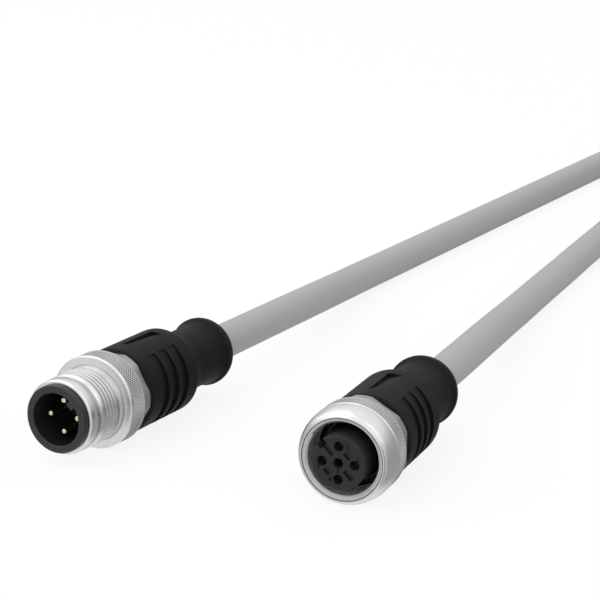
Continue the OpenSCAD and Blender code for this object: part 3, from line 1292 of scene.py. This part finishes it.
    def pieces(self) -> list[bpy.types.Object]:
        """Returns:
            The straps and the cable.
        """
        line = self.line()
        jacket = self.mesh(line)
        ties = [self.tie(angle) for angle in self.strap_angles]
        dress(jacket, JACKET.material("cable_jacket"))
        tie_finish = TIE.material("tie_fabric")
        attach(jacket, Body.CABLE_SET.value)
        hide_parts("cable_from_plug", "cable_coil", "cable_to_socket")
        for tie in ties:
            dress(tie, tie_finish)
            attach(tie, Body.CABLE_SET.value)
        return [*ties, jacket]


# ---------------------------------------------------------------- studio


@dataclass
class Studio:
    """Camera, floor, backdrop and soft lamps."""

    camera_at: Point = (0.16566, -0.27836, 0.1129)
    heading: tuple[float, float] = (-0.495, 0.8689)
    pitch: float = 15.34
    lens: float = 132.38
    floor_size: float = 6.0
    floor_tone: float = 0.8
    floor_tint: float = 0.14
    floor_glow: float = 0.87
    soft_light: float = 0.72

    def camera(self) -> None:
        """Sets up the camera."""
        data = bpy.data.cameras.new("camera")
        data.lens, data.sensor_width = self.lens, 36.0
        data.clip_start, data.clip_end = 0.01, 20.0
        made = add_object("camera", data)
        made.location = self.camera_at
        turn = math.atan2(-self.heading[0], self.heading[1])
        made.rotation_euler = (math.radians(90 - self.pitch), 0.0, turn)
        bpy.context.scene.camera = made

    def lamp(self, name: str, at: Point, size: float, power: float) -> None:
        """Adds a soft square lamp that faces the origin.

        Args:
            name: Its name.
            at: Its place in metres.
            size: Length of its side in metres.
            power: Its power in watts.
        """
        data = bpy.data.lights.new(name, "AREA")
        data.shape, data.size, data.energy = "SQUARE", size, power
        made = add_object(name, data)
        made.location = at
        made.rotation_euler = (-Vector(at)).to_track_quat("-Z", "Y").to_euler()

    def floor(self) -> None:
        """Lays a pale floor that shows white to the camera and keeps the soft shadow."""
        mesh = bpy.data.meshes.new("floor")
        s = self.floor_size
        mesh.from_pydata([(-s, -s, 0), (s, -s, 0), (s, s, 0), (-s, s, 0)], [], [(0, 1, 2, 3)])
        made = add_object("floor", mesh)
        material, g = surface("floor_white")
        rays = g.node("ShaderNodeLightPath")
        plain = g.node("ShaderNodeBsdfDiffuse", {}, {"Color": grey(self.floor_tone)})
        tinted = g.node("ShaderNodeBsdfDiffuse", {}, {"Color": grey(self.floor_tint)})
        glow = g.node(
            "ShaderNodeEmission", {}, {"Color": grey(1.0), "Strength": self.floor_glow}
        )
        both = g.node("ShaderNodeAddShader", {}, {0: tinted.outputs[0], 1: glow.outputs[0]})
        clear = g.node("ShaderNodeBsdfTransparent")
        glossy = g.value(rays, "Is Glossy Ray")
        shown = g.either(glossy, both, clear)
        seen = g.value(rays, "Is Camera Ray") + glossy + g.value(rays, "Is Transmission Ray")
        g.output("ShaderNodeOutputMaterial", g.either(seen, plain, shown))
        dress(made, material)

    def backdrop(self) -> None:
        """Fills the world: white where it is seen, a studio in reflections, and soft light."""
        world = bpy.data.worlds.new("backdrop")
        bpy.context.scene.world = world
        world.use_nodes = True
        g = Graph(world.node_tree)
        rays = g.node("ShaderNodeLightPath")
        shown = g.value(rays, "Is Camera Ray") + g.value(rays, "Is Transmission Ray")
        white = g.background(grey(1.0))
        soft = g.background(grey(1.0), self.soft_light)
        light = g.either(g.value(rays, "Is Glossy Ray"), soft, self.mirrored(g))
        g.output("ShaderNodeOutputWorld", g.either(shown, light, white))

    def mirrored(self, g: Graph) -> bpy.types.Node:
        """What glossy surfaces see: white overhead, in front and on the table, and grey walls.

        Args:
            g: The world's graph.

        Returns:
            The background node.
        """
        direction = g.value(g.node("ShaderNodeTexCoord"), "Generated")
        parts = g.node("ShaderNodeSeparateXYZ", {}, {0: direction})
        height, right = g.value(parts, "Z"), g.value(parts, "X")
        walls = g.blend((0.0 - right).smooth(0.0, 0.45), grey(0.38), grey(0.52))
        front = (0.0 - g.value(parts, "Y")).smooth(0.3, 0.8)
        lower = g.blend(front, walls, grey(0.9))
        upper = g.blend(height.smooth(0.05, 0.62), lower, grey(1.05))
        table = (0.0 - height - right.smooth(0.05, 0.7) * 0.3).smooth(0.45, 0.75)
        return g.background(g.blend(table, upper, grey(0.95)))

    def lamps(self) -> None:
        """Hangs the soft lamps."""
        self.lamp("key", (-0.45, -0.2, 0.75), 1.1, 2.8)
        self.lamp("fill", (0.7, -0.3, 0.6), 1.0, 1.0)


# ---------------------------------------------------------------- building


def metal_finishes() -> list[bpy.types.Material]:
    """Makes the finishes and painted shade of the two metal rings.

    Returns:
        The finishes, in the order of Skin.
    """
    return [
        NickelPlate().material("nickel_plate"),
        # Darker tone of the knurl and hexagon, also used as painted shade in the plug ring's
        # recesses
        NickelPlate((0.43, 0.43, 0.44), 0.42).material("nickel_knurl_and_shade"),
        NickelPlate(grey(0.74), 0.5, metallic=0.1).material("nickel_inside"),
        # Painted shade for the nut's thread grooves and the ring round its mouth
        NickelPlate(grey(0.16), 0.5, metallic=0.25).material("nickel_groove_shade"),
    ]


def dress_nodes(nodes: dict[str, bpy.types.Object]) -> None:
    """Gives the nodes of the frame that no new piece stands for their finishes.

    Args:
        nodes: The frame's nodes by name.
    """
    gold = GoldPlate().material("pale_gold")
    finishes = {
        "plug_pin_?": gold,
        "socket_contact_?": gold,
        "*_grip": GRIP.material("grip_polyurethane"),
        "plug_contact_carrier": CARRIER.material("carrier_moulding"),
        "socket_contact_insert": INSERT.material("insert_moulding"),
        "socket_seal": SEAL.material("seal_rubber"),
        "*_inner_mould": CORE_MOULD.material("core_moulding"),
    }
    for colour, value in WIRE_COLOURS.items():
        material = Moulding(value, 0.4, cloud=0.06).material("wire_" + colour)
        finishes["*_wire_" + colour] = material
    for name, node in nodes.items():
        for pattern, material in finishes.items():
            if fnmatchcase(name, pattern):
                dress(node, material)


def report(piece: bpy.types.Object) -> None:
    """Logs a piece's name and how many faces it has.

    Args:
        piece: The piece.
    """
    log.info("%s: %d faces", piece.name, len(piece.data.polygons))


def main() -> None:
    """Loads the frame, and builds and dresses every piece."""
    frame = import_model()
    bpy.context.scene.view_settings.view_transform = "Standard"
    studio = Studio()
    studio.camera()

    for piece in Cable().pieces():
        report(piece)
    metal = metal_finishes()
    report(PlugRing().piece(metal))
    report(SocketNut().piece(metal))
    report(PositionNumbers().piece())
    dress_nodes(frame["nodes"])

    studio.floor()
    studio.backdrop()
    studio.lamps()


if __name__ == "__main__":
    main()
